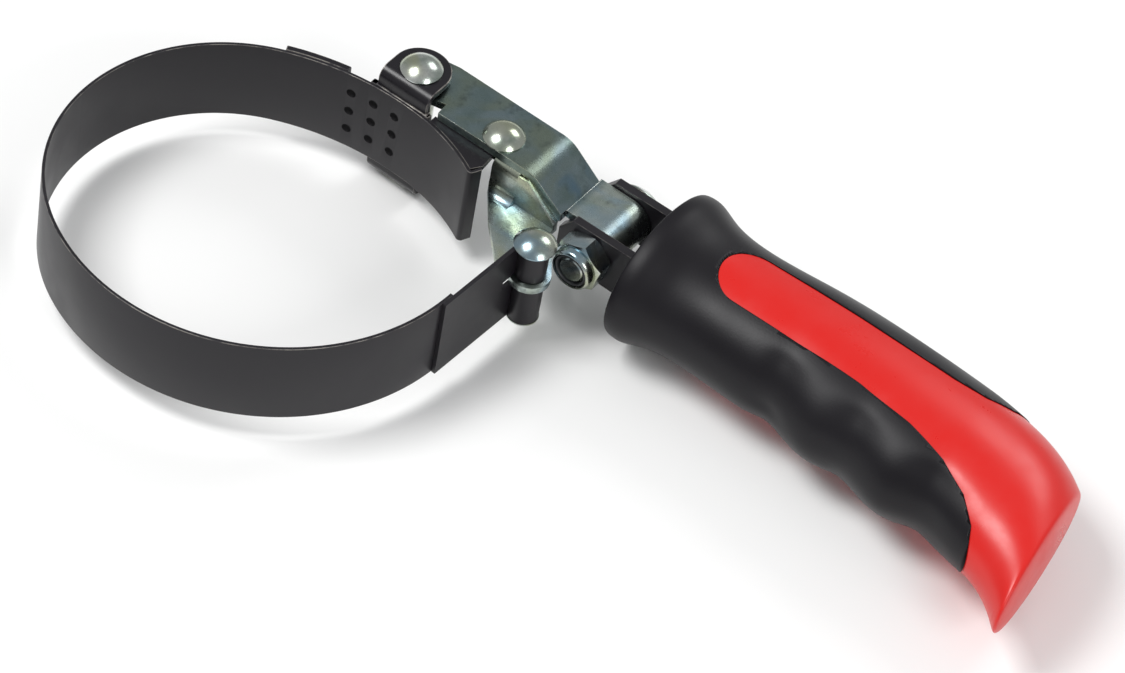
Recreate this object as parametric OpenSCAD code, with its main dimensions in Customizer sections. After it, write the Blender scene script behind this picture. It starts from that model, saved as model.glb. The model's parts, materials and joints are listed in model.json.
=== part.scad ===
// Oil filter wrench: a sprung steel band closed on the filter by a riveted
// lever, with a handle that swivels on a cross bolt.
// Origin: centre of the round seat of the band, at half of its width.
// +Z is the filter axis, +X runs along the lever and the handle.

/* [Band] */
// band width along the filter axis
band_w = 25.4; // [22:0.2:27]
// band strip thickness
band_t = 0.9; // [0.7:0.05:1.2]
// inner radius of the round seat
seat_r = 46.9; // [46:0.1:47.5]

/* [Lever] */
// lever sheet thickness
lever_t = 2.4; // [2:0.1:2.6]
// link sheet thickness
link_t = 2; // [1.6:0.1:2.2]
// rivet head diameter
head_d = 11; // [9:0.5:11.5]
// rivet head height
head_h = 3; // [2:0.1:3.2]

/* [Swivel] */
// swivel bolt diameter
bolt_d = 8; // [6:0.5:8]
// width across the flats of the lock nut
nut_af = 13; // [12:0.5:13]

/* [Handle] */
// grip half width in the band plane
grip_a = 22; // [20:0.5:23]
// grip half thickness along the filter axis
grip_b = 16.4; // [15:0.2:17.4]

/* [Hidden] */
$fn = 96;
z_band = band_w / 2;
slice_t = 0.2;

// near side arc, back arc and tail arc, all tangent to the seat
seat_a0 = 115.7;
seat_a1 = 242.5;
tail_a = 85;
tail_end_a = 61.5;
near_r = seat_r + 9.5;
back_r = seat_r + 26.5;
tail_r = seat_r + 6.2;
near_c = (seat_r - near_r) * [cos(seat_a1), sin(seat_a1)];
back_c = (seat_r - back_r) * [cos(seat_a0), sin(seat_a0)];
tail_c = back_c + (back_r - tail_r) * [cos(tail_a), sin(tail_a)];
lip_len = 3.4;
lip_lean = 4;
flex_near_a = 310;
strip_end_a = 364;
flex_gap = 0.2;

// pivots, in plan
p_bracket = [11.8, 57.6];
p_lever = [39.6, 56.4];
p_strap = [66.2, 35.2];
bolt_x = 72;

shank_r = 2.95;
run_fit = 0.05;
loop_fit = 0.5;
head_gap = 0.15;
form_r = 4.2;
form_h = 1.6;

// bracket
bracket_t = 1.8;
ear_r = 7.8;
ear_z = z_band + 3.8;
ear_bend = 1.5;
web_a0 = 83;
web_a1 = seat_a0 - 0.5;
flange_t = 1.5;
flange_web = 1.2;
flange_x0 = 21.5;
flange_x1 = 40.2;
flange_y1 = 52;
flange_fit = 0.02;

// front strap and its eye
strap_t = 1.1;
strap_lean = 2.3;
strap_foot = 2;
strap_len = 30.5;
eye_r = shank_r + strap_t;
slot_y = 27.5;
slot_gap = 0.35;

// lever plate
lever_z = z_band + 0.3;
lever_y0 = 51.2;
lever_y1 = 67.5;
barrel_y0 = 54.9;
barrel_y1 = 69.6;
bore_r = bolt_d / 2 + 0.06;
barrel_r = bore_r + lever_t;
ramp_x = 49;
ramp_a = 42;
ramp_bend = 6;

// link plate
link_z = 0.4;
wall_y = 50.6;
wall_x0 = 41;
wall_x1 = 61.5;
fold_r = 3;
lobe_r = 5.4;

// yoke
yoke_t = 2.4;
yoke_y0 = 52.2;
yoke_y1 = 69.9;
yoke_x0 = 62.3;
yoke_x1 = 128;
yoke_h = 7.9;

// bolt and nut
nut_h = 8;
nut_hex_h = 5.6;
collar_r = 6.1;
ring_r = 5.1;
ring_h = 2;
bolt_head_r = 8;
bolt_head_h = 4.6;

// handle
grip_y = 61.7;
front_x = 86.5;
guard_x = 90.5;
waist_x = 103;
swell_x = 146;
butt_x = 195;
heel_x = 207;
end_x = 213.5;
core_a = 16;
core_b = 12.2;

// a strip of metal bent to an arc and standing on its edge
module arc_strip(c, r, t, a0, a1, w) {
  translate([c[0], c[1], 0])
    rotate([0, 0, a0])
      rotate_extrude(angle = a1 - a0)
        translate([r, -w / 2])
          square([t, w]);
}

// points along an arc
function arc_pts(c, r, a0, a1, n) =
  [for (i = [0:n]) c + r * [cos(a0 + (a1 - a0) * i / n), sin(a0 + (a1 - a0) * i / n)]];

// flat ring sector
module sector(r0, r1, a0, a1) {
  rotate(a0)
    difference() {
      intersection() {
        circle(r = r1);
        polygon([[0, 0], [3 * r1, 0], [3 * r1 * cos(a1 - a0), 3 * r1 * sin(a1 - a0)]]);
      }
      circle(r = r0);
    }
}

// domed cap standing on z = 0
module dome(r, h) {
  ball = (r * r + h * h) / (2 * h);
  intersection() {
    translate([0, 0, h - ball])
      sphere(r = ball);
    cylinder(r = r, h = h + 1);
  }
}

// rivet: domed head on top, formed end below
module rivet(z_top, z_low) {
  translate([0, 0, z_low])
    cylinder(r = shank_r, h = z_top - z_low);
  translate([0, 0, z_top])
    dome(head_d / 2, head_h);
  translate([0, 0, z_low])
    mirror([0, 0, 1])
      dome(form_r, form_h);
}

module band_strap_end() {
  color("#2b292d")
    arc_strip(near_c, near_r, band_t, flex_near_a + flex_gap, strip_end_a, band_w);
}

module band_near() {
  color("#2b292d")
    arc_strip(near_c, near_r, band_t, seat_a1, flex_near_a, band_w);
}

module band_seat() {
  color("#2b292d")
    arc_strip([0, 0], seat_r, band_t, seat_a0 + flex_gap, seat_a1, band_w);
}

// the nine weld dimples sit inside the band, in front of the bracket
module weld_dimples() {
  for (a = [-1, 0, 1])
    for (z = [-1, 0, 1])
      translate([back_c[0], back_c[1], z * 6.4])
        rotate([0, 0, 95.5 + 5.1 * a])
          translate([back_r - 0.6, 0, 0])
            rotate([0, 90, 0])
              cylinder(r = 1.25, h = 0.8, $fn = 24);
}

module band_bracket_end() {
  color("#2b292d")
    difference() {
      arc_strip(back_c, back_r, band_t, tail_a, seat_a0, band_w);
      weld_dimples();
    }
}

// free end of the band, with its short lip turned outwards
module band_tail() {
  out = [cos(tail_end_a - lip_lean), sin(tail_end_a - lip_lean)];
  side = [out[1], -out[0]];
  inner = arc_pts(tail_c, tail_r, tail_a, tail_end_a, 10);
  outer = arc_pts(tail_c, tail_r + band_t, tail_end_a, tail_a, 10);
  foot = inner[10] + band_t * side;
  color("#2b292d")
    translate([0, 0, -z_band])
      linear_extrude(band_w)
        polygon(concat(inner, [foot, foot + (lip_len + band_t) * out, outer[0] + lip_len * out],
          outer));
}

module ear_plan() {
  translate(p_bracket)
    circle(r = ear_r);
  translate([p_bracket[0] - ear_r, 50.9])
    square([2 * ear_r, p_bracket[1] - 50.9]);
}

// one ear: its flat, and the bend that brings it out of the web
module ear() {
  y_web = back_c[1] + back_r + band_t;
  difference() {
    translate([0, 0, ear_z])
      linear_extrude(bracket_t)
        intersection() {
          ear_plan();
          translate([0, y_web + bracket_t + ear_bend])
            square([60, 60]);
        }
    translate([p_bracket[0], p_bracket[1], 0])
      cylinder(r = shank_r + loop_fit, h = 40);
  }
  translate([p_bracket[0] - ear_r, y_web + bracket_t + ear_bend, ear_z - ear_bend])
    rotate([90, 0, 90])
      linear_extrude(2 * ear_r)
        sector(ear_bend, ear_bend + bracket_t, 90, 180);
  translate([p_bracket[0] - ear_r, y_web, 0])
    cube([2 * ear_r, bracket_t, ear_z - ear_bend]);
}

module bracket() {
  color("#242226") {
    difference() {
      arc_strip(back_c, back_r + band_t, bracket_t, web_a0, web_a1, band_w);
      translate([-4.3, 40, z_band - 5])
        cube([6.5, 20, 10]);
      translate([-4.3, 40, -z_band - 5])
        cube([6.5, 20, 10]);
    }
    ear();
    mirror([0, 0, 1])
      ear();
  }
}

// the bracket goes on along the tail, with its top edge folded to a shelf under the lever
module bracket_flange() {
  r = tail_r + band_t + flange_fit;
  a0 = acos((flange_x0 - tail_c[0]) / r);
  skin = arc_pts(tail_c, r, a0, tail_end_a + 0.2, 10);
  room = arc_pts(tail_c, r + flange_web, a0 + 5, tail_end_a - 8, 10);
  color("#242226")
    difference() {
      translate([0, 0, -z_band])
        linear_extrude(band_w)
          polygon(concat(skin, [[flange_x1 + 0.5, 46.8], [flange_x1, flange_y1 - 0.4],
            [flange_x0, flange_y1]]));
      translate([0, 0, -z_band - 1])
        linear_extrude(band_w + 1 - flange_t)
          polygon(concat(room, [[60, 60], [10, 60]]));
    }
}

module front_strap() {
  r = near_r + band_t;
  ex = p_strap[0];
  ey = p_strap[1];
  color("#29272b")
    difference() {
      union() {
        translate([near_c[0], near_c[1], -z_band])
          rotate([0, 0, -strap_lean])
            translate([r, -strap_foot, 0])
              cube([strap_t, strap_len, band_w]);
        translate([ex, ey, -z_band])
          cylinder(r = eye_r, h = band_w);
      }
      translate([ex, ey, -z_band - 1])
        cylinder(r = shank_r, h = band_w + 2);
      translate([ex - 12, slot_y, link_z - slot_gap])
        cube([24, 24, link_t + 2 * slot_gap]);
    }
}

module strap_rivet() {
  color("#c9ccc8")
    translate([p_strap[0], p_strap[1], 0])
      rivet(z_band, -z_band);
}

module bracket_rivet() {
  color("#c9ccc8")
    translate([p_bracket[0], p_bracket[1], 0])
      rivet(ear_z + bracket_t + head_gap, -ear_z - bracket_t - head_gap);
}

module lever_rivet() {
  color("#c9ccc8")
    translate([p_lever[0], p_lever[1], 0])
      rivet(lever_z + lever_t, lever_z - link_t);
}

module spacer_tube() {
  color("#aeb3ad")
    translate([p_bracket[0], p_bracket[1], -ear_z + 0.3])
      difference() {
        cylinder(r = 4.6, h = lever_z + ear_z - 0.3);
        translate([0, 0, -1])
          cylinder(r = shank_r, h = 60);
      }
}

// side view of the lever plate: flat, ramp, and the barrel rolled at its end
module lever_side() {
  c = [ramp_x, lever_z - ramp_bend];
  up = [sin(ramp_a), cos(ramp_a)];
  down = [up[1], -up[0]];
  top_bend = arc_pts(c, ramp_bend + lever_t, 90, 90 - ramp_a, 8);
  low_bend = arc_pts(c, ramp_bend, 90 - ramp_a, 90, 8);
  top_crease = top_bend[8] + down * (top_bend[8][1] - barrel_r) / sin(ramp_a);
  low_crease = low_bend[0] + down * (low_bend[0][1] - bore_r) / sin(ramp_a);
  roll_end = asin(bore_r / barrel_r) - 360 + 2 * (90 - asin(bore_r / barrel_r));
  roll = arc_pts([bolt_x, 0], barrel_r, 90, roll_end, 40);
  polygon(concat([[0, lever_z + lever_t]], top_bend, [top_crease], roll, [low_crease], low_bend,
    [[0, lever_z]]));
}

module lever_plan() {
  polygon([[7.2, 59.5], [9, 63.8], [13, 66.8], [17, lever_y1], [ramp_x, lever_y1],
    [62, lever_y1 + 1], [62, barrel_y1], [90, barrel_y1], [90, barrel_y0], [62, barrel_y0],
    [62, lever_y0 + 1.3], [ramp_x, lever_y0], [22.6, lever_y0], [22.3, 54.8],
    [13.5, 52.9]]);
}

module lever_plate() {
  color("#a9aea6")
    difference() {
      union() {
        intersection() {
          translate([0, 80, 0])
            rotate([90, 0, 0])
              linear_extrude(40)
                lever_side();
          translate([0, 0, -20])
            linear_extrude(50)
              lever_plan();
        }
        translate([p_bracket[0], p_bracket[1], lever_z])
          cylinder(r = 5, h = lever_t);
      }
      translate([bolt_x, 90, 0])
        rotate([90, 0, 0])
          cylinder(r = bore_r, h = 50);
      translate([p_bracket[0], p_bracket[1], 0])
        cylinder(r = shank_r, h = 30);
      translate([p_lever[0], p_lever[1], 0])
        cylinder(r = shank_r, h = 30);
    }
}

// cross section of the folded link, from its flange down to the tongue
module link_section() {
  top = lever_z;
  flange_r = 1;
  translate([wall_y + link_t + flange_r, top - link_t])
    square([9, link_t]);
  translate([wall_y + link_t + flange_r, top - link_t - flange_r])
    sector(flange_r, flange_r + link_t, 90, 180);
  translate([wall_y, link_z + link_t + fold_r])
    square([link_t, top - 2 * link_t - link_z - fold_r - flange_r]);
  translate([wall_y - fold_r, link_z + link_t + fold_r])
    sector(fold_r, fold_r + link_t, 270, 360);
  translate([wall_y - fold_r - 1, link_z])
    square([1, link_t]);
}

module tongue_plan() {
  translate(p_strap)
    circle(r = lobe_r);
  polygon([[wall_x0, wall_y + link_t], [wall_x0, 48.9], [43, 46.9], [57.6, 32.3], [62.4, 31.4],
    [68.7, 30.4], [71.4, 34], [70.6, 38.3], [66.8, 43.3], [63.7, 44.6], [wall_x1, 50],
    [wall_x1, wall_y + link_t]]);
}

// corner of the fold that is cut away so the band's lip can pass
module lip_room() {
  translate([0, 0, -1])
    linear_extrude(link_z + link_t + fold_r + 0.6)
      polygon([[38, 54.2], [38, 40.5], [49.1, 40.5]]);
}

module link_plate() {
  color("#9fa8a2")
    difference() {
      union() {
        // folded part under the flat of the lever
        translate([wall_x0, 0, 0])
          rotate([90, 0, 90])
            linear_extrude(ramp_x - wall_x0)
              link_section();
        // wall that follows the ramp
        difference() {
          translate([ramp_x, wall_y, link_z + link_t])
            cube([wall_x1 - ramp_x, link_t, lever_z - link_z - link_t - 0.6]);
          translate([ramp_x, 90, lever_z - ramp_bend])
            rotate([90, 0, 0])
              linear_extrude(60)
                rotate(-ramp_a)
                  translate([-8, ramp_bend - 0.02])
                    square([50, 30]);
        }
        // flange round the lever rivet
        translate([p_lever[0] - 6, wall_y + link_t + 1, lever_z - link_t])
          cube([8, 9, link_t]);
        // tongue that reaches the strap eye
        translate([0, 0, link_z])
          linear_extrude(link_t)
            tongue_plan();
      }
      lip_room();
      translate([p_strap[0], p_strap[1], -5])
        cylinder(r = shank_r + run_fit, h = 20);
      translate([p_lever[0], p_lever[1], 0])
        cylinder(r = shank_r, h = 30);
    }
}

module cross_bore(r) {
  translate([bolt_x, 95, 0])
    rotate([90, 0, 0])
      cylinder(r = r, h = 60);
}

module yoke_side() {
  polygon([[yoke_x0, -3], [yoke_x0 + 3.6, -yoke_h + 0.3], [front_x, -yoke_h], [yoke_x1, -yoke_h],
    [yoke_x1, yoke_h], [front_x, yoke_h], [yoke_x0 + 3.6, yoke_h - 0.3], [yoke_x0, 3]]);
}

module swivel_yoke() {
  color("#29272b")
    difference() {
      translate([0, yoke_y1 + yoke_t, 0])
        rotate([90, 0, 0])
          linear_extrude(yoke_y1 - yoke_y0 + yoke_t)
            yoke_side();
      translate([0, yoke_y0 + yoke_t, -20])
        cube([yoke_x1 - yoke_t, yoke_y1 - yoke_y0 - yoke_t, 40]);
      cross_bore(bolt_d / 2 + 0.1);
      translate([yoke_x1 - 14, 95, 0])
        rotate([90, 0, 0])
          cylinder(r = 2.5, h = 60);
    }
}

module swivel_bolt() {
  y_head = yoke_y1 + yoke_t;
  y_end = yoke_y0 - nut_h + 0.5;
  color("#c6c9c4") {
    translate([bolt_x, y_head, 0])
      rotate([90, 0, 0])
        cylinder(r = bolt_d / 2, h = y_head - y_end);
    translate([bolt_x, y_head, 0])
      rotate([-90, 0, 0])
        dome(bolt_head_r, bolt_head_h);
  }
}

module lock_nut() {
  color("#c2c6c1")
    difference() {
      union() {
        translate([bolt_x, yoke_y0, 0])
          rotate([90, 0, 0])
            rotate([0, 0, 12])
              cylinder(r = nut_af / 2 / cos(30), h = nut_hex_h, $fn = 6);
        translate([bolt_x, yoke_y0, 0])
          rotate([90, 0, 0])
            cylinder(r = collar_r, h = nut_h);
      }
      cross_bore(bolt_d / 2);
      translate([bolt_x, yoke_y0 - nut_h + ring_h, 0])
        rotate([90, 0, 0])
          cylinder(r = ring_r, h = ring_h + 1);
    }
}

module nut_ring() {
  color("#3a3a3d")
    difference() {
      translate([bolt_x, yoke_y0 - nut_h + ring_h, 0])
        rotate([90, 0, 0])
          cylinder(r = ring_r, h = ring_h - 0.3);
      cross_bore(bolt_d / 2);
    }
}

// thin oval slice of the handle, standing across X
module slice(x, y, a, b) {
  translate([x, y, 0])
    rotate([90, 0, 90])
      linear_extrude(slice_t)
        scale([a, b])
          circle(r = 1, $fn = 48);
}

module handle_body() {
  hull() {
    slice(front_x, grip_y, 20.5, 17.2);
    slice(guard_x, grip_y, 22.3, 19);
  }
  hull() {
    slice(guard_x, grip_y, 22.3, 19);
    slice(waist_x, grip_y, 19.3, 15.7);
  }
  hull() {
    slice(waist_x, grip_y, 19.3, 15.7);
    slice(swell_x, grip_y, grip_a, grip_b);
    slice(172, grip_y - 0.8, grip_a + 0.5, grip_b);
    slice(butt_x, grip_y - 2.2, grip_a - 0.4, grip_b - 0.4);
  }
  hull() {
    slice(butt_x, grip_y - 2.2, grip_a - 0.4, grip_b - 0.4);
    slice(heel_x, grip_y - 8.2, 20.5, 14.6);
    slice(end_x, grip_y - 14.2, 18, 12);
  }
}

// outline of the hard core where it shows between the grip halves
module window_plan() {
  nose = [for (a = [90:15:270]) [113.1, 62.1] + 8.6 * [cos(a), sin(a)]];
  polygon(concat(nose, [[160, 53.5], [176, 50], [187, 43.5], [194, 34], [199, 20],
    [225, 20], [225, 95], [194, 95], [190, 83], [185, 75.5], [176, 70.7]]));
}

module window() {
  translate([0, 0, -30])
    linear_extrude(60)
      window_plan();
}

module finger_grooves() {
  for (x = [130, 153, 177])
    translate([x, 27.2, -30])
      cylinder(r = 14.5, h = 60);
}

module core_blank() {
  hull() {
    slice(front_x + 2, grip_y, core_a, core_b);
    slice(180, grip_y - 1, core_a, core_b);
  }
}

module yoke_room() {
  translate([front_x - 5, yoke_y0, -yoke_h])
    cube([yoke_x1 - front_x + 5, yoke_t, 2 * yoke_h]);
  translate([front_x - 5, yoke_y1, -yoke_h])
    cube([yoke_x1 - front_x + 5, yoke_t, 2 * yoke_h]);
  translate([yoke_x1 - yoke_t, yoke_y0, -yoke_h])
    cube([yoke_t, yoke_y1 - yoke_y0 + yoke_t, 2 * yoke_h]);
}

module handle_core() {
  color("#e02f28")
    difference() {
      union() {
        core_blank();
        intersection() {
          handle_body();
          window();
        }
      }
      yoke_room();
      translate([yoke_x1 - 14, 95, 0])
        rotate([90, 0, 0])
          cylinder(r = 2.5, h = 60);
    }
}

module grip_sleeve() {
  color("#232225")
    difference() {
      handle_body();
      core_blank();
      window();
      finger_grooves();
      yoke_room();
      translate([yoke_x1 - 14, 90, 0])
        rotate([90, 0, 0])
          cylinder(r = 2.5, h = 12 + 2 * core_a);
    }
}

// cross pin that locks the yoke in the moulded core
module yoke_pin() {
  color("#b0b3b0")
    translate([yoke_x1 - 14, grip_y + 14.5, 0])
      rotate([90, 0, 0])
        cylinder(r = 2.5, h = 29);
}

band_strap_end();
band_near();
band_seat();
band_bracket_end();
band_tail();
bracket();
bracket_flange();
front_strap();
strap_rivet();
bracket_rivet();
lever_rivet();
spacer_tube();
lever_plate();
link_plate();
swivel_yoke();
swivel_bolt();
lock_nut();
nut_ring();
handle_core();
grip_sleeve();
yoke_pin();
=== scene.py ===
# %% [markdown]
# # Oil filter wrench
# A sprung steel band closes on the filter when a riveted lever is pulled round.
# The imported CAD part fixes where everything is; this lesson gives each piece its looks.
# Lengths are in metres, and the origin is the middle of the band's round seat.

import json
import math

import bpy
from mathutils import Matrix, Vector


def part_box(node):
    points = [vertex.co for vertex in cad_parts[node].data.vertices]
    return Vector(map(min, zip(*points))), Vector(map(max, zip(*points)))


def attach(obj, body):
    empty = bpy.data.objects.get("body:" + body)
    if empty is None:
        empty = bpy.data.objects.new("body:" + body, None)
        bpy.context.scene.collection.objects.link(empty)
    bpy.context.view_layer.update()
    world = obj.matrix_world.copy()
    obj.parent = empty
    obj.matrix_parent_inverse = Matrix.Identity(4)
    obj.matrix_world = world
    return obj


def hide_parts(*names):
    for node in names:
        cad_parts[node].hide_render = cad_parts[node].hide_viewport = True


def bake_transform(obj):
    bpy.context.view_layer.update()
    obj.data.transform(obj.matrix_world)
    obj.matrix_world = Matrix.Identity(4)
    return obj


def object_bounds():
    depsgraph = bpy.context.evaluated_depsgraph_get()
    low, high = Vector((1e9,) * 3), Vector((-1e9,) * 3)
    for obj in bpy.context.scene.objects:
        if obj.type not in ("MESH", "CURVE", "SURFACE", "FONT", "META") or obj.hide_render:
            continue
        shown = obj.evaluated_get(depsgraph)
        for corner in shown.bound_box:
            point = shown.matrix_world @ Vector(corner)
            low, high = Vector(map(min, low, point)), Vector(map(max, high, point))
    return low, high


MM = 0.001
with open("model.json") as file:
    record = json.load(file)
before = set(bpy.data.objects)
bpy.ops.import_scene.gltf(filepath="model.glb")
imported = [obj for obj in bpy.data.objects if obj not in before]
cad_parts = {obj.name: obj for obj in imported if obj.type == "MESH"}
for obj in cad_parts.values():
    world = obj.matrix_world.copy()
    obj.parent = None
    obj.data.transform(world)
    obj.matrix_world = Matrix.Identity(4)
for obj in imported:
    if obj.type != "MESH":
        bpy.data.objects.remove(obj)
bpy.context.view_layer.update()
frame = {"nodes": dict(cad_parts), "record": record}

# %% [markdown]
# ## Camera
# The wrench lies flat and is seen from above, from the side of the finger grooves.
# The camera is tipped sideways a little, so the handle runs down across the picture.
# It could be set with a track-to constraint; a matrix from three directions is exact.

# %% Camera
turn, rise, roll = (math.radians(a) for a in (-28.83, 48.416, 11.309))
ahead = Vector((math.sin(turn) * math.cos(rise), math.cos(turn) * math.cos(rise), -math.sin(rise)))
level = Vector((math.cos(turn), -math.sin(turn), 0))
upright = level.cross(ahead)
right = level * math.cos(roll) + upright * math.sin(roll)
up = right.cross(ahead)
target = Vector((83.78, 26.02, 0)) * MM
distance = 1185.3 * MM

bpy.ops.object.camera_add()
camera = bpy.context.object
camera.name = "camera"
camera.data.lens = 154.62
camera.data.sensor_width = 36
basis = Matrix((right, up, -ahead)).transposed().to_4x4()
camera.matrix_world = Matrix.Translation(target - ahead * distance) @ basis
bpy.context.scene.camera = camera
print("camera at", tuple(round(c, 4) for c in camera.location))

# %% [markdown]
# ## Colours and shader nodes
# Paint and plastic colours are easiest to choose as sRGB codes, and shaders want linear values.
# One helper turns a code into a linear colour, and one adds a shader node and links it.

# %% Colour and node helpers
def linear(code):
    """The linear colour of an sRGB code such as #C0C4C0."""
    parts = [int(code[i:i + 2], 16) / 255 for i in (1, 3, 5)]
    return [c / 12.92 if c <= 0.04045 else ((c + 0.055) / 1.055) ** 2.4 for c in parts] + [1]


def add(mat, kind, settings=None, **inputs):
    """Adds a node; inputs named i0, i1 are counted, the others are names with _ for a space."""
    node = mat.node_tree.nodes.new(kind)
    for key, value in (settings or {}).items():
        setattr(node, key, value)
    for key, value in inputs.items():
        counted = key[0] == "i" and key[1:].isdigit()
        socket = node.inputs[int(key[1:]) if counted else key.replace("_", " ")]
        if isinstance(value, bpy.types.NodeSocket):
            mat.node_tree.links.new(value, socket)
        else:
            socket.default_value = value
    return node


def blank(name):
    """An empty material and its object coordinates."""
    mat = bpy.data.materials.new(name)
    mat.use_nodes = True
    mat.node_tree.nodes.clear()
    return mat, add(mat, "ShaderNodeTexCoord").outputs["Object"]


def finish_with(mat, normal, **inputs):
    """Ends a material with its Principled shader."""
    skin = add(mat, "ShaderNodeBsdfPrincipled", Normal=normal, **inputs)
    add(mat, "ShaderNodeOutputMaterial", Surface=skin.outputs["BSDF"])
    return mat


print("white is", linear("#FFFFFF")[:3])

# %% [markdown]
# ## Black steel
# The band, strap, bracket and fork are blackened steel with a thin oily satin film.
# A fine sandy bump breaks up the shine, and wide soft patches change how dull it is.
# Edges are worn to bare metal, so the bevelled edge faces get a second, brighter material.

# %% Black steel material
def black_steel(name, tint, sheen):
    """Blackened steel: tint is its darkest colour and sheen its middle roughness."""
    mat, at = blank(name)
    sand = add(mat, "ShaderNodeTexNoise", Vector=at, Scale=2600, Detail=2, Roughness=0.6)
    cloud = add(mat, "ShaderNodeTexNoise", Vector=at, Scale=45, Detail=4, Roughness=0.55)
    dull = add(mat, "ShaderNodeMapRange", Value=cloud.outputs["Fac"], From_Min=0.3, From_Max=0.7,
               To_Min=sheen - 0.06, To_Max=sheen + 0.08)
    shade = add(mat, "ShaderNodeMix", {"data_type": "RGBA"}, i0=cloud.outputs["Fac"],
                i6=linear(tint), i7=linear("#211F24"))
    bump = add(mat, "ShaderNodeBump", Height=sand.outputs["Fac"], Strength=0.35, Distance=0.00003)
    return finish_with(mat, bump.outputs["Normal"], Base_Color=shade.outputs[2],
                       Roughness=dull.outputs[0], Specular_IOR_Level=0.34)


# blackened spring steel, satin
steel = black_steel("blackened_steel", "#161417", 0.38)
# the bracket has a thicker, smoother coat
coated = black_steel("black_coated_steel", "#0E0D10", 0.28)
print("made", steel.name, coated.name)

# %% [markdown]
# Bare metal shows in a broken line where the black film has rubbed off the edges.

# %% Worn edge material
# rubbed edge of blackened steel
edge_wear, at = blank("rubbed_steel_edge")
rub = add(edge_wear, "ShaderNodeTexNoise", Vector=at, Scale=160, Detail=5, Roughness=0.7)
bare = add(edge_wear, "ShaderNodeMapRange", Value=rub.outputs["Fac"], From_Min=0.42, From_Max=0.6)
tone = add(edge_wear, "ShaderNodeMix", {"data_type": "RGBA"}, i0=bare.outputs[0],
           i6=linear("#2B282C"), i7=linear("#8E8A84"))
metal = add(edge_wear, "ShaderNodeMath", {"operation": "MULTIPLY"}, i0=bare.outputs[0], i1=0.8)
grit = add(edge_wear, "ShaderNodeBump", Height=rub.outputs["Fac"], Strength=0.3, Distance=0.00003)
finish_with(edge_wear, grit.outputs["Normal"], Base_Color=tone.outputs[2],
            Metallic=metal.outputs[0], Roughness=0.38)
print("made", edge_wear.name)

# %% [markdown]
# The spot welds' small pits are painted near-black, as painted shade in the recesses, darker than the film
# round them.

# %% Weld pit material
# painted shade for the weld pits, dull and rough
pit_shade, at = blank("weld_pit_painted_shade")
pit_noise = add(pit_shade, "ShaderNodeTexNoise", Vector=at, Scale=1800, Detail=4, Roughness=0.8)
pit_dark = add(pit_shade, "ShaderNodeMix", {"data_type": "RGBA"}, i0=pit_noise.outputs["Fac"],
           i6=linear("#050506"), i7=linear("#0F0D10"))
pitted = add(pit_shade, "ShaderNodeBump", Height=pit_noise.outputs["Fac"], Strength=0.6, Distance=0.00006)
finish_with(pit_shade, pitted.outputs["Normal"], Base_Color=pit_dark.outputs[2], Roughness=0.6,
            Specular_IOR_Level=0.15)
print("made", pit_shade.name)

# %% [markdown]
# ## Zinc plate
# The lever, link, rivets, bolt and nut are zinc plated with a yellowish passivation.
# Its film is uneven: soft blotches of green, straw and blue lie over a pale grey metal,
# with darker smoky stains, and the sheet keeps faint straight rolling lines.

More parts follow.
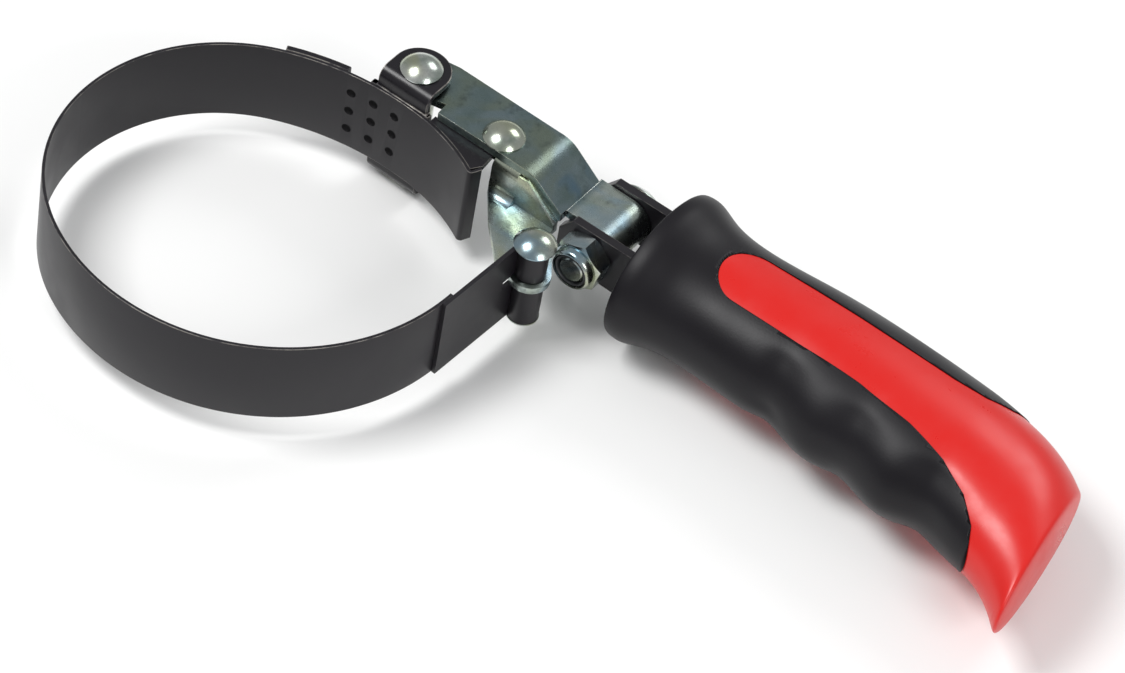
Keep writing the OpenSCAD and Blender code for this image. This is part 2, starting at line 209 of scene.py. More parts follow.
# %% Zinc plate material
def zinc(name, pale, stain, rough, lines, shade_tint="#FFFFFF", unshaded_from=-1.0):
    """Zinc plate: painted shade in the colour shade_tint darkens it as far along X as unshaded_from, in
    metres.
    """
    mat, at = blank(name)
    blotch = add(mat, "ShaderNodeTexNoise", Vector=at, Scale=110, Detail=4, Roughness=0.6, Distortion=0.4)
    tint = add(mat, "ShaderNodeTexNoise", Vector=at, Scale=62, Detail=2, Distortion=1.2)
    smoke = add(mat, "ShaderNodeTexNoise", Vector=at, Scale=190, Detail=6, Roughness=0.75)
    green = add(mat, "ShaderNodeMapRange", Value=blotch.outputs["Fac"], From_Min=0.38, From_Max=0.62)
    straw = add(mat, "ShaderNodeMapRange", Value=tint.outputs["Fac"], From_Min=0.5, From_Max=0.68)
    blue = add(mat, "ShaderNodeMapRange", Value=tint.outputs["Fac"], From_Min=0.46, From_Max=0.34)
    dirt = add(mat, "ShaderNodeMapRange", Value=smoke.outputs["Fac"], From_Min=0.52, From_Max=0.72,
               To_Max=0.75)
    one = add(mat, "ShaderNodeMix", {"data_type": "RGBA"}, i0=green.outputs[0],
              i6=linear(pale), i7=linear("#9DAAA0"))
    two = add(mat, "ShaderNodeMix", {"data_type": "RGBA"}, i0=straw.outputs[0],
              i6=one.outputs[2], i7=linear("#B2B79F"))
    three = add(mat, "ShaderNodeMix", {"data_type": "RGBA"}, i0=blue.outputs[0],
                i6=two.outputs[2], i7=linear("#93AAB4"))
    four = add(mat, "ShaderNodeMix", {"data_type": "RGBA"}, i0=dirt.outputs[0],
               i6=three.outputs[2], i7=linear(stain))
    # painted shade: the shade_tint colour multiplies everything below unshaded_from along X
    place = add(mat, "ShaderNodeSeparateXYZ", Vector=at)
    unshaded = add(mat, "ShaderNodeMapRange", Value=place.outputs["X"], From_Min=unshaded_from,
                From_Max=unshaded_from + 0.002)
    painted_shade = add(mat, "ShaderNodeMix", {"data_type": "RGBA"}, i0=unshaded.outputs[0],
               i6=linear(shade_tint), i7=linear("#FFFFFF"))
    five = add(mat, "ShaderNodeMix", {"data_type": "RGBA", "blend_type": "MULTIPLY"}, i0=1.0,
               i6=four.outputs[2], i7=painted_shade.outputs[2])
    dull = add(mat, "ShaderNodeMapRange", Value=smoke.outputs["Fac"], From_Min=0.3, From_Max=0.7,
               To_Min=rough - 0.05, To_Max=rough + 0.12)
    rolled = add(mat, "ShaderNodeMapping", Vector=at, Scale=(120, 5200, 5200))
    line = add(mat, "ShaderNodeTexNoise", Vector=rolled.outputs[0], Scale=1, Detail=2)
    bump = add(mat, "ShaderNodeBump", Height=line.outputs["Fac"], Strength=lines, Distance=0.00002)
    rough_bump = add(mat, "ShaderNodeBump", Height=smoke.outputs["Fac"], Strength=0.25,
                     Distance=0.00004, Normal=bump.outputs["Normal"])
    return finish_with(mat, rough_bump.outputs["Normal"], Base_Color=five.outputs[2], Metallic=1.0,
                       Roughness=dull.outputs[0])


# zinc plated sheet with a thin greenish passivation
sheet_zinc = zinc("zinc_plated_sheet", "#B2BDB8", "#59605A", 0.25, 0.5)
# the same plating, with painted shade and painted dark reflection making the flat and the ramp darker and
# bluer, and none round the rolled barrel
lever_zinc = zinc("zinc_sheet_painted_shade", "#B4BEB9", "#5C625E", 0.25, 0.5, "#B8C4CE", 0.0622)
# brighter zinc on the formed rivets, the bolt and the nut
bright_zinc = zinc("bright_zinc_plate", "#D4D7D2", "#858A86", 0.2, 0.0)
# polished edge where the press tool burnished the sheet
lever_edge = zinc("burnished_zinc_edge", "#E2E6E0", "#A5AAA4", 0.16, 0.0)
print("made", sheet_zinc.name, lever_zinc.name, bright_zinc.name, lever_edge.name)

# %% [markdown]
# ## Plastics
# The hard core is glossy red plastic with a hint of moulding orange peel.
# The grip halves are a soft black rubber with a fine matt grain, and the nut has a dark nylon ring.

# %% Plastic materials
# glossy red moulded polypropylene
red, at = blank("red_moulded_plastic")
peel = add(red, "ShaderNodeTexNoise", Vector=at, Scale=900, Detail=2)
scuff = add(red, "ShaderNodeTexNoise", Vector=at, Scale=70, Detail=5, Roughness=0.7)
gloss = add(red, "ShaderNodeMapRange", Value=scuff.outputs["Fac"], From_Min=0.35, From_Max=0.7,
            To_Min=0.26, To_Max=0.4)
hue = add(red, "ShaderNodeMix", {"data_type": "RGBA"}, i0=scuff.outputs["Fac"],
          i6=linear("#D41912"), i7=linear("#D01913"))
skin = add(red, "ShaderNodeBump", Height=peel.outputs["Fac"], Strength=0.12, Distance=0.00005)
finish_with(red, skin.outputs["Normal"], Base_Color=hue.outputs[2], Roughness=gloss.outputs[0])

# black thermoplastic rubber, matt grain
rubber, at = blank("black_grip_rubber")
grain = add(rubber, "ShaderNodeTexNoise", Vector=at, Scale=1500, Detail=3, Roughness=0.7)
haze = add(rubber, "ShaderNodeTexNoise", Vector=at, Scale=40, Detail=4)
dull = add(rubber, "ShaderNodeMapRange", Value=haze.outputs["Fac"], From_Min=0.3, From_Max=0.7,
           To_Min=0.36, To_Max=0.48)
ink = add(rubber, "ShaderNodeMix", {"data_type": "RGBA"}, i0=haze.outputs["Fac"],
          i6=linear("#0E0C10"), i7=linear("#151318"))
skin = add(rubber, "ShaderNodeBump", Height=grain.outputs["Fac"], Strength=0.4, Distance=0.00005)
finish_with(rubber, skin.outputs["Normal"], Base_Color=ink.outputs[2], Roughness=dull.outputs[0],
            Specular_IOR_Level=0.26)

# dark nylon locking ring
nylon, at = blank("dark_nylon")
grain = add(nylon, "ShaderNodeTexNoise", Vector=at, Scale=1200, Detail=2)
skin = add(nylon, "ShaderNodeBump", Height=grain.outputs["Fac"], Strength=0.3, Distance=0.00005)
finish_with(nylon, skin.outputs["Normal"], Base_Color=linear("#2A2B2E"), Roughness=0.5)
print("made", red.name, rubber.name, nylon.name)

# %% [markdown]
# ## Shaping helpers
# Round parts are turned: a profile is drawn point by point and spun about its axis.
# Points are joined one by one in edit mode, and a finished piece has its doubles merged.

# %% Shaping helpers
def start_edit(x, y, z):
    """A new mesh of one vertex, in edit mode, with its object at the origin."""
    bpy.ops.object.select_all(action="DESELECT")
    bpy.ops.mesh.primitive_plane_add(size=MM, location=(x, y, z))
    bpy.ops.object.transform_apply(location=True)
    bpy.ops.object.mode_set(mode="EDIT")
    bpy.ops.mesh.select_mode(type="VERT")
    bpy.ops.mesh.select_all(action="SELECT")
    bpy.ops.mesh.merge(type="CENTER")
    return bpy.context.object


def end_edit(obj, name, angle=30):
    """Merges, turns the faces outwards and smooths all but the sharp edges."""
    bpy.ops.mesh.select_all(action="SELECT")
    bpy.ops.mesh.remove_doubles(threshold=2e-6)
    bpy.ops.mesh.normals_make_consistent(inside=False)
    bpy.ops.object.mode_set(mode="OBJECT")
    bpy.ops.object.shade_smooth_by_angle(angle=math.radians(angle))
    obj.name = name
    return obj


def turned(name, foot, axis, profile, steps=72):
    """A lathe part: profile is (radius, height) in mm from foot, along the unit axis."""
    foot, axis = Vector(foot), Vector(axis)
    out = Vector((1, 0, 0))
    points = [foot + (out * r + axis * h) * MM for r, h in profile]
    obj = start_edit(*points[0])
    for before, after in zip(points, points[1:]):
        bpy.ops.mesh.extrude_vertices_move(TRANSFORM_OT_translate={"value": after - before})
    bpy.ops.mesh.select_all(action="SELECT")
    bpy.ops.mesh.spin(steps=steps, angle=2 * math.pi, center=foot, axis=axis)
    return end_edit(obj, name)


def paint(obj, *mats):
    """Gives a piece its materials, the first one on every face."""
    obj.data.materials.clear()
    for mat in mats:
        obj.data.materials.append(mat)
    for face in obj.data.polygons:
        face.material_index = 0


print("helpers ready")

# %% [markdown]
# ## Band
# On the real tool one 1 inch strip of spring steel is rolled to a round seat and looser ends.
# It could be one mesh with a bend bone at each spring; here it is two strips that meet inside the seat.
# The arcs are tangent, so every centre follows from the seat.

# %% Band arcs
def polar(radius, angle):
    """A point at a radius and an angle in degrees, in plan."""
    return Vector((math.cos(math.radians(angle)), math.sin(math.radians(angle)), 0)) * radius


band_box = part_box("band_seat")
band_w = band_box[1].z - band_box[0].z
seat_r = frame["record"]["mounts"][0]["dims"]["r_mm"] * MM
band_t = 0.9 * MM
seat_start, seat_end, split = 115.7, 242.5, 185
near_r, back_r, tail_r = seat_r + 9.5 * MM, seat_r + 26.5 * MM, seat_r + 6.2 * MM
near_c = polar(seat_r - near_r, seat_end)
back_c = polar(seat_r - back_r, seat_start)
tail_start, tail_end = 85, 61.5
tail_c = back_c + polar(back_r - tail_r, tail_start)
print("strip", round(band_w / MM, 2), "mm wide")

# %% [markdown]
# The strip's section is a thin rectangle with small rounded corners.
# It is swept by spinning it round one arc centre after another, which keeps the arcs tangent.

# %% Sweep a strip
def strip(first_angle, arcs, straight=0, lip=0):
    """arcs are (centre, radius, end angle) after a straight start; lip turns the last end outwards."""
    centre, radius, _ = arcs[0]
    bpy.ops.object.select_all(action="DESELECT")
    ahead = polar(straight, first_angle - 90)
    middle = centre + polar(radius + band_t / 2, first_angle) - ahead
    bpy.ops.mesh.primitive_plane_add(size=1, location=middle,
                                     rotation=(math.pi / 2, 0, math.radians(first_angle)))
    obj = bpy.context.object
    obj.scale = (band_t, band_w, 1)
    bpy.ops.object.transform_apply(location=True, rotation=True, scale=True)
    bpy.ops.object.mode_set(mode="EDIT")
    bpy.ops.mesh.select_all(action="SELECT")
    bpy.ops.mesh.bevel(offset=0.2 * MM, segments=3, affect="VERTICES")
    bpy.ops.mesh.select_all(action="SELECT")
    if straight:
        bpy.ops.mesh.extrude_region_move(TRANSFORM_OT_translate={"value": ahead})
    angle, degrees_per_step = first_angle, 1.5
    for centre, radius, stop in arcs:
        steps = max(2, round(abs(stop - angle) / degrees_per_step))
        bpy.ops.mesh.spin(steps=steps, angle=math.radians(angle - stop), center=centre, axis=(0, 0, 1))
        angle = stop
    if lip:
        fold, lean = 82, 5
        edge = centre + polar(radius + band_t * 1.4, angle)
        bpy.ops.mesh.spin(steps=6, angle=-math.radians(fold), center=edge, axis=(0, 0, 1))
        bpy.ops.mesh.extrude_region_move(TRANSFORM_OT_translate={"value": polar(lip, angle + lean)})
    return obj


def wear_edges(obj, half):
    """The small rounded faces along the edges of a strip get the second material."""
    for face in obj.data.polygons:
        if abs(face.center.z) > half - 0.2 * MM and 0.2 < abs(face.normal.z) < 0.95:
            face.material_index = 1


near_start = 357.7
near_strip = strip(near_start, [(near_c, near_r, seat_end), (Vector(), seat_r, split)], 2 * MM)
near_strip = end_edit(near_strip, "band_near_strip", 60)
back_strip = strip(split, [(Vector(), seat_r, seat_start), (back_c, back_r, tail_start),
                           (tail_c, tail_r, tail_end)], lip=2.6 * MM)
back_strip = end_edit(back_strip, "band_back_strip", 60)
print("strips", len(near_strip.data.polygons), len(back_strip.data.polygons))

# %% [markdown]
# Pits, bores and the grip's window are cut with a tool mesh, as a press or a drill would.
# The exact solver is slower than the others, and it copes with walls that lie close together.

# %% Boolean helper
def boolean(obj, tool, operation):
    """Cuts, joins or keeps with a tool mesh and removes the tool."""
    bpy.ops.object.select_all(action="DESELECT")
    bpy.context.view_layer.objects.active = obj
    obj.select_set(True)
    cut = obj.modifiers.new("cut", "BOOLEAN")
    cut.operation = operation
    cut.solver = "EXACT"
    cut.object = tool
    bpy.ops.object.modifier_apply(modifier="cut")
    bpy.data.objects.remove(tool)
    return obj


print("boolean helper ready")

# %% [markdown]
# Nine spot welds hold the bracket to the band, and each leaves a small round pit inside.

# %% Weld pits
pits = []
weld_rise, weld_angle, weld_step = 6.4, 95.5, 5.1
ball_r, ball_out = 1.55 * MM, 0.8 * MM
for step in (-1, 0, 1):
    for height in (-weld_rise, 0, weld_rise):
        centre = back_c + polar(back_r - ball_out, weld_angle + weld_step * step)
        bpy.ops.object.select_all(action="DESELECT")
        bpy.ops.mesh.primitive_uv_sphere_add(segments=24, ring_count=12, radius=ball_r,
                                             location=(centre.x, centre.y, height * MM))
        pits.append(bpy.context.object)
for pit in pits:
    pit.select_set(True)
bpy.context.view_layer.objects.active = pits[0]
bpy.ops.object.join()
bpy.ops.object.transform_apply(location=True)
boolean(back_strip, bpy.context.object, "DIFFERENCE")
print("weld pits", len(pits))

# %% [markdown]
# Each strip is painted and its placing is baked into its mesh; the CAD band pieces are hidden.

# %% Band looks
for part in (near_strip, back_strip):
    paint(part, steel, edge_wear, pit_shade)
    wear_edges(part, band_w / 2)
# painted shade: the faces inside the weld pits get the near-black third material
pit_high, pit_left = 8.5 * MM, -8 * MM
for face in back_strip.data.polygons:
    depth = (face.center - back_c).xy.length - back_r
    in_wall = 0.04 * MM < depth < band_t - 0.1 * MM
    if in_wall and abs(face.center.z) < pit_high and face.center.x > pit_left:
        face.material_index = 2
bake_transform(near_strip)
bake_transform(back_strip)
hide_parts("band_strap_end", "band_near")
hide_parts("band_seat", "band_bracket_end", "band_tail")
print("band strips", near_strip.name, back_strip.name)

# %% [markdown]
# ## Sheet metal parts
# Bracket, strap, lever, link and fork are pressed or folded sheet, and their CAD shape is right.
# Fresh copies are merged, cleaned of flat seams and given the small round edge a press leaves.

# %% Round the edges of sheet parts
def pressed(node, width, body, mats, flat_faces=True):
    """A copy of a CAD node with rounded edges; flat_faces keeps its broad faces evenly shaded."""
    obj = frame["nodes"][node].copy()
    obj.data = obj.data.copy()
    obj.parent = None
    for key in list(obj.keys()):
        del obj[key]
    bpy.context.scene.collection.objects.link(obj)
    bpy.ops.object.select_all(action="DESELECT")
    bpy.context.view_layer.objects.active = obj
    obj.select_set(True)
    bpy.ops.mesh.customdata_custom_splitnormals_clear()
    bpy.ops.object.mode_set(mode="EDIT")
    bpy.ops.mesh.select_all(action="SELECT")
    bpy.ops.mesh.remove_doubles(threshold=2e-6)
    bpy.ops.mesh.dissolve_limited(angle_limit=math.radians(0.8))
    bpy.ops.object.mode_set(mode="OBJECT")
    paint(obj, *mats)
    bevel = obj.modifiers.new("edge", "BEVEL")
    bevel.width = width * MM
    bevel.segments = 2
    bevel.limit_method = "ANGLE"
    bevel.angle_limit = math.radians(40)
    bevel.material = len(mats) - 1
    bevel.use_clamp_overlap = True
    bpy.ops.object.modifier_apply(modifier="edge")
    bpy.ops.object.mode_set(mode="EDIT")
    end_edit(obj, node + "_pressed", 32)
    if flat_faces:
        even = obj.modifiers.new("even", "WEIGHTED_NORMAL")
        even.keep_sharp = True
        bpy.ops.object.modifier_apply(modifier="even")
    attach(obj, body)
    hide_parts(node)
    return obj


bracket = pressed("bracket", 0.3, "bracket_end", [coated, edge_wear])
strap = pressed("front_strap", 0.15, "strap_end", [steel, edge_wear])
fork = pressed("swivel_yoke", 0.2, "handle", [steel, edge_wear])
lever = pressed("lever_plate", 0.25, "lever", [lever_zinc, lever_edge])
link = pressed("link_plate", 0.2, "lever", [sheet_zinc, lever_edge], False)
flange = pressed("bracket_flange", 0.12, "bracket_end", [coated, edge_wear])
print("pressed parts", [len(o.data.polygons) for o in (bracket, strap, fork, lever, link, flange)])

# %% [markdown]
# ## Rivets
# Each rivet has a low domed head and a smaller formed end, both with a tiny rolled rim.
# The dome is an arc of points, so that its highlight stays round.

# %% Rivets
def dome(radius, height, count=10):
    """(radius, height) points over a low dome with a short upright rim."""
    rim = 0.35
    ball = (radius ** 2 + (height - rim) ** 2) / (2 * (height - rim))
    top = math.asin(min(1, radius / ball))
    arc = [top * (1 - i / count) for i in range(count + 1)]
    return [(radius, 0.0)] + [(ball * math.sin(a), height - ball + ball * math.cos(a)) for a in arc]


def rivet(node, body):
    """A rivet that fills the CAD rivet's box."""
    low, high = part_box(node)
    middle = (low + high) / 2
    head_r, head_h, form_r, form_h, shank = 5.5, 3.0, 4.2, 1.6, 2.95
    length = (high.z - low.z) / MM
    under = [(r, form_h - h) for r, h in dome(form_r, form_h)][::-1]
    over = [(r, length - head_h + h) for r, h in dome(head_r, head_h)]
    profile = under + [(shank, form_h), (shank, length - head_h)] + over
    obj = turned(node + "_turned", (middle.x, middle.y, low.z), (0, 0, 1), profile)
    paint(obj, bright_zinc)
    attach(obj, body)
    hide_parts(node)
    return obj


rivets = [rivet("strap_rivet", "strap_end"), rivet("bracket_rivet", "lever"), rivet("lever_rivet", "lever")]
print("rivets", [o.name for o in rivets])

# %% [markdown]
# The spacer tube holds the bracket's ears apart. It is turned, with small chamfers at both ends.

# %% Spacer tube
low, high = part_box("spacer_tube")
middle, tall, bevel = (low + high) / 2, (high.z - low.z) / MM, 0.25
tube_in, tube_out, in_bevel = 2.95, 4.6, 0.2
tube = [(tube_in, in_bevel), (tube_in + bevel, 0), (tube_out - bevel, 0), (tube_out, bevel),
        (tube_out, tall - bevel), (tube_out - bevel, tall), (tube_in + bevel, tall),
        (tube_in, tall - in_bevel), (tube_in, in_bevel)]
spacer = turned("spacer_tube_turned", (middle.x, middle.y, low.z), (0, 0, 1), tube)
paint(spacer, bright_zinc)
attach(spacer, "lever")
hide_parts("spacer_tube")
print("spacer", round(tall, 1), "mm long")

# %% [markdown]
# ## Swivel bolt, nut and nylon ring
# The bolt has a round domed head behind the fork and a chamfered end at the nut.
# The lock nut is a six-sided bar with turned chamfers and a round collar that holds the ring.

# %% Swivel bolt
low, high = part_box("swivel_bolt")
bolt_at = Vector(((low.x + high.x) / 2, low.y, (low.z + high.z) / 2))
long = (high.y - low.y) / MM
head_h, head_r, bolt_r = 4.6, 8, 4
profile = [(0, 0), (bolt_r - 0.8, 0), (bolt_r, 0.8), (bolt_r, long - head_h)]
profile += [(r, long - head_h + h) for r, h in dome(head_r, head_h)]
bolt = turned("swivel_bolt_turned", bolt_at, (0, 1, 0), profile)
paint(bolt, bright_zinc)
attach(bolt, "handle")
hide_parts("swivel_bolt")
print("bolt", round(long, 1), "mm long")

# %% [markdown]
# The nut is kept where the hexagon, the chamfers' turned outline and the collar agree, then bored.

# %% Lock nut
low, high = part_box("lock_nut")
nut_face = high.y
corner, hex_h, nut_h = 13 / 2 / math.cos(math.radians(30)), 5.6, 8
bpy.ops.object.select_all(action="DESELECT")
bpy.ops.mesh.primitive_cylinder_add(vertices=6, radius=corner * MM, depth=hex_h * MM,
                                    location=(bolt_at.x, nut_face - hex_h / 2 * MM, bolt_at.z),
                                    rotation=(math.pi / 2, math.radians(12), 0))
nut = bpy.context.object
bpy.ops.object.transform_apply(location=True, rotation=True)
wide, tiny = corner + 0.1, 0.01
chamfer = [(0, -tiny), (6.4, -tiny), (wide, 0.75), (wide, hex_h - 0.75), (6.3, hex_h + tiny),
           (0, hex_h + tiny)]
form = turned("form", (bolt_at.x, nut_face, bolt_at.z), (0, -1, 0), chamfer)
boolean(nut, form, "INTERSECT")
collar = [(0, 0.2), (5.9, 0.2), (5.9, nut_h - 0.9), (5.6, nut_h - 0.3), (5.2, nut_h), (4.9, nut_h - 0.1),
          (4.75, nut_h - 0.7), (4.75, nut_h - 2.2), (0, nut_h - 2.2)]
boolean(nut, turned("collar", (bolt_at.x, nut_face, bolt_at.z), (0, -1, 0), collar), "UNION")
bore_r = 4.02
bore = [(0, -1), (bore_r, -1), (bore_r, nut_h + 1), (0, nut_h + 1)]
boolean(nut, turned("bore", (bolt_at.x, nut_face, bolt_at.z), (0, -1, 0), bore), "DIFFERENCE")
bpy.context.view_layer.objects.active = nut
bpy.ops.object.mode_set(mode="EDIT")
end_edit(nut, "lock_nut_made", 28)
paint(nut, bright_zinc)
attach(nut, "handle")
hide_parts("lock_nut")
print("nut faces", len(nut.data.polygons))

# %% [markdown]
# The nylon ring grips the thread so that the nut can't work loose.
# The pin goes across the fork's tang inside the handle; both are small turned parts.

# %% Nylon ring and yoke pin
low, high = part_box("nut_ring")
ring = [(bore_r, 0), (4.7, 0), (4.7, 1.5), (4.45, 1.8), (4.2, 1.8), (bore_r, 1.5), (bore_r, 0)]
insert = turned("nut_ring_turned", (bolt_at.x, high.y, bolt_at.z), (0, -1, 0), ring)
paint(insert, nylon)
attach(insert, "handle")
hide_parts("nut_ring")
low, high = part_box("yoke_pin")
pin_long = (high.y - low.y) / MM
pin_at = Vector(((low.x + high.x) / 2, low.y, (low.z + high.z) / 2))
pin_shape = [(0, 0), (2.1, 0), (2.5, 0.4), (2.5, pin_long - 0.4), (2.1, pin_long), (0, pin_long)]
pin = turned("yoke_pin_turned", pin_at, (0, 1, 0), pin_shape)
paint(pin, bright_zinc)
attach(pin, "handle")
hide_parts("yoke_pin")
print("ring and pin made")

# %% [markdown]
# ## Handle
# The real handle is moulded twice: a hard red core first, then soft black halves over it.
# Its shape is one long loft: an oval ring at the front is extruded from station to station,
# scaled to the width and thickness there, and then smoothed with a subdivision surface.
# Each station is (x, near side y, far side y, half thickness, lean of the ring in degrees).
# A groove moves only the near part of a ring, most at its side, so the top stays straight.

# %% Handle stations
stations = [
    (86.9, 58.0, 66.0, 3.5, 0), (86.6, 46.5, 77.2, 12.5, 0), (86.5, 40.0, 83.6, 18.2, 0),
    (86.6, 39.3, 84.3, 18.7, 0), (87.2, 38.9, 84.7, 19.0, 0), (90.4, 38.5, 85.0, 19.2, 0),
    (93.6, 39.7, 83.8, 17.9, 0), (98, 41.3, 82.0, 16.3, 0), (105, 42.0, 81.0, 15.6, 0),
    (114, 41.9, 81.2, 15.7, 0), (124, 41.4, 82.3, 16.0, 0), (128.5, 40.9, 82.8, 16.1, 0),
    (133.5, 40.3, 83.2, 16.2, 0), (140, 39.6, 83.5, 16.4, 0), (147, 38.6, 83.6, 16.4, 0),
    (152.5, 38.1, 83.6, 16.4, 0), (157, 37.7, 83.5, 16.4, 0), (163, 37.2, 83.4, 16.4, 0),
    (170.5, 36.6, 83.1, 16.3, 0), (176, 36.5, 82.8, 16.2, 0), (180.5, 36.4, 82.3, 16.1, 0),
    (186, 36.3, 81.4, 15.8, 0), (193, 36.1, 80.0, 15.3, 0), (199.5, 35.4, 77.9, 14.5, 2),
    (205.5, 31.0, 75.6, 13.4, 5), (209.4, 26.2, 74.0, 12.4, 7.4), (210.9, 24.4, 73.3, 12.0, 7.8),
    (211.5, 25.4, 72.3, 11.3, 7.8), (212.1, 29.5, 68.2, 8.8, 7.8), (212.5, 37.0, 60.7, 4.9, 7.8),
    (212.6, 46.0, 51.7, 1.2, 7.8),
]
# the finger grooves on the near side: where they are along the handle, and how deep
grooves = [(128.5, 0.9), (133.5, 4.2), (140, 1.1), (152.5, 2.1), (157, 4.6), (163, 1.8),
           (176, 2.1), (180.5, 5.4), (186, 3.1), (193, 0.8)]
# a groove's depth is shared out from three places on, measured from the middle to the near side
groove_shares = ((0.3, 0.32), (0.4, 0.62), (0.3, 0.86))
print("stations", len(stations), "groove points", len(grooves))

# %% Loft the handle
def loft(name, inset, levels=2):
    """The handle's shape, with its skin moved in by inset mm."""
    x, near, far, half, lean = stations[0]
    bpy.ops.object.select_all(action="DESELECT")
    centre = Vector((x + inset, (near + far) / 2, 0)) * MM
    bpy.ops.mesh.primitive_circle_add(vertices=32, radius=MM, location=centre,
                                      rotation=(0, math.pi / 2, 0))
    bpy.ops.object.transform_apply(location=True, rotation=True)
    obj = bpy.context.object
    bpy.ops.object.mode_set(mode="EDIT")
    bpy.ops.mesh.select_all(action="SELECT")
    wide, thick = (far - near) / 2 - min(inset, 1), half - min(inset, 1)
    bpy.ops.transform.resize(value=(1, wide, thick), center_override=centre)
    bpy.ops.mesh.edge_face_add()
    was = (centre, wide, thick, lean)
    for x, near, far, half, lean in stations[1:]:
        push = inset if x < 100 else -inset if x > 209 else 0
        centre = Vector((x + push, (near + far) / 2, 0)) * MM
        wide, thick = max(0.5, (far - near) / 2 - inset), max(0.5, half - inset)
        bpy.ops.mesh.extrude_region_move(TRANSFORM_OT_translate={"value": centre - was[0]})
        bpy.ops.transform.resize(value=(wide / was[1], wide / was[1], thick / was[2]),
                                 center_override=centre)
        if lean != was[3]:
            bpy.ops.transform.rotate(value=math.radians(was[3] - lean), orient_axis="Z",
                                     center_override=centre)
        was = (centre, wide, thick, lean)
    for x, deep in grooves:
        near, far = [ring[1:3] for ring in stations if ring[0] == x][0]
        for share, start in groove_shares:
            edge = (near + far) / 2 - start * ((far - near) / 2 - inset)
            bpy.ops.mesh.select_all(action="DESELECT")
            bpy.ops.object.mode_set(mode="OBJECT")
            for v in obj.data.vertices:
                v.select = abs(v.co.x - x * MM) < 0.1 * MM and v.co.y < edge * MM
            bpy.ops.object.mode_set(mode="EDIT")
            bpy.ops.transform.translate(value=(0, share * deep * MM, 0))
    smooth = obj.modifiers.new("smooth", "SUBSURF")
    smooth.levels = smooth.render_levels = levels
    bpy.ops.object.mode_set(mode="OBJECT")
    bpy.ops.object.modifier_apply(modifier="smooth")
    bpy.ops.object.mode_set(mode="EDIT")
    return end_edit(obj, name, 40)


grip = loft("grip_rubber", 0)
core = loft("core_body", 1.3, 1)
shell = loft("core_shell", 0.22)
for corner_at in (grip.bound_box[0], grip.bound_box[6]):
    print("handle box corner", tuple(round(c / MM, 1) for c in corner_at))

# %% [markdown]
# The red shows through a long window with a round nose that widens into the whole butt.
# Its outline is drawn in plan and extruded through the handle, on both faces alike.
# The core keeps a thin skin inside the window, and a fine gap shows where it meets the black.

# %% Window through the black grip
def window(name, grow):
    """A tall block with the window's outline."""
    nose_c, nose_r = Vector((113.1, 62.1, -30)) * MM, (8.7 + grow) * MM
    nose = [nose_c + polar(nose_r, 90 + 6 * i) for i in range(31)]
    low = [(134, 53.3), (152, 52.9), (168, 51.2), (180, 48.6), (189, 44.8), (195, 40.3), (198.6, 35),
           (200, 27), (200.2, 15)]
    high = [(240, 15), (240, 100), (191, 100), (189.6, 86), (187.4, 80.5), (183.4, 75.6), (177, 72.4),
            (168, 71.2), (150, 71.0), (130, 70.9)]
    outline = nose + [Vector((x, y - (grow if y < 62 else -grow), -30)) * MM for x, y in low + high]
    obj = start_edit(*outline[0])
    for before, after in zip(outline, outline[1:]):
        bpy.ops.mesh.extrude_vertices_move(TRANSFORM_OT_translate={"value": after - before})
    bpy.ops.mesh.select_all(action="SELECT")
    bpy.ops.mesh.edge_face_add()
    bpy.ops.mesh.extrude_region_move(TRANSFORM_OT_translate={"value": (0, 0, 60 * MM)})
    return end_edit(obj, name)


boolean(grip, window("window", 0), "DIFFERENCE")
boolean(grip, loft("hollow", 1.35, 1), "DIFFERENCE")
boolean(shell, window("window", -0.12), "INTERSECT")
boolean(core, shell, "UNION")
core.name = "red_core"
print("grip faces", len(grip.data.polygons), "core faces", len(core.data.polygons))

# %% [markdown]
# Cutting leaves slivers along the border, so they are merged before the handle is shaded.
# Weighted normals keep the broad faces even beside the narrow ones.

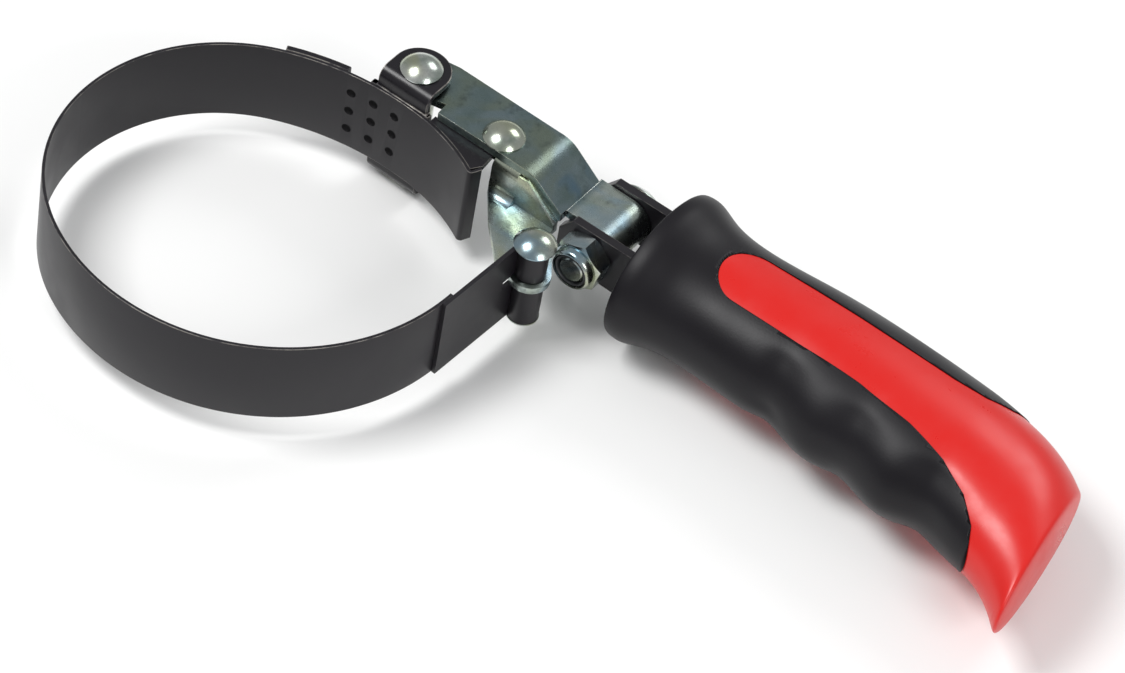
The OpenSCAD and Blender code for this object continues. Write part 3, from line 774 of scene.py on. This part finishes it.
# %% Handle looks
halves = ((grip, rubber, "black_grip", "grip_sleeve"), (core, red, "red_plastic", "handle_core"))
for part, mat, slot, node in halves:
    bpy.context.view_layer.objects.active = part
    bpy.ops.object.mode_set(mode="EDIT")
    bpy.ops.mesh.select_all(action="SELECT")
    bpy.ops.mesh.remove_doubles(threshold=4e-5)
    bpy.ops.mesh.dissolve_degenerate(threshold=2e-5)
    end_edit(part, part.name, 35)
    even = part.modifiers.new("even", "WEIGHTED_NORMAL")
    even.keep_sharp = True
    bpy.ops.object.modifier_apply(modifier="even")
    paint(part, mat)
    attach(part, "handle")
    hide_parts(node)
print("handle pieces", grip.name, core.name)

# %% [markdown]
# ## Floor and light
# A pale floor lies under the lowest point, in a soft white room with three big square lamps.
# Large lamps give the metal and the rubber broad, soft highlights.

# %% Floor and lamps
low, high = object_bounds()
wrench_middle = Vector((0.08, 0.03, 0))
floor_gap = 0.5 * MM
bpy.ops.mesh.primitive_plane_add(size=6, location=(wrench_middle.x, wrench_middle.y, low.z - floor_gap))
floor = bpy.context.object
floor.name = "floor"
# matt white table
white, at = blank("white_table")
speck = add(white, "ShaderNodeTexNoise", Vector=at, Scale=30, Detail=2)
flat = add(white, "ShaderNodeBump", Height=speck.outputs["Fac"], Strength=0.02, Distance=0.0005)
finish_with(white, flat.outputs["Normal"], Base_Color=linear("#F4F4F3"), Roughness=0.8)
floor.data.materials.append(white)


def lamp(name, place, size, power):
    """A square soft lamp that faces the middle of the wrench."""
    spot = Vector(place)
    facing = (wrench_middle - spot).to_track_quat("-Z", "Y").to_euler()
    bpy.ops.object.light_add(type="AREA", location=spot, rotation=facing)
    light = bpy.context.object
    light.name = name
    light.data.size = size
    light.data.energy = power
    return light


lamp("key", (-0.35, -0.35, 0.95), 0.42, 8)
lamp("side", (0.85, -0.25, 0.6), 0.35, 3)
lamp("back", (0.2, 0.9, 0.7), 0.45, 2.5)
world = bpy.data.worlds.new("room")
bpy.context.scene.world = world
world.use_nodes = True
room = world.node_tree.nodes["Background"].inputs
room["Color"].default_value = linear("#F2F3F5")
room["Strength"].default_value = 0.47
bpy.context.scene.view_settings.view_transform = "Standard"
print("floor at", round(low.z / MM, 1), "mm")
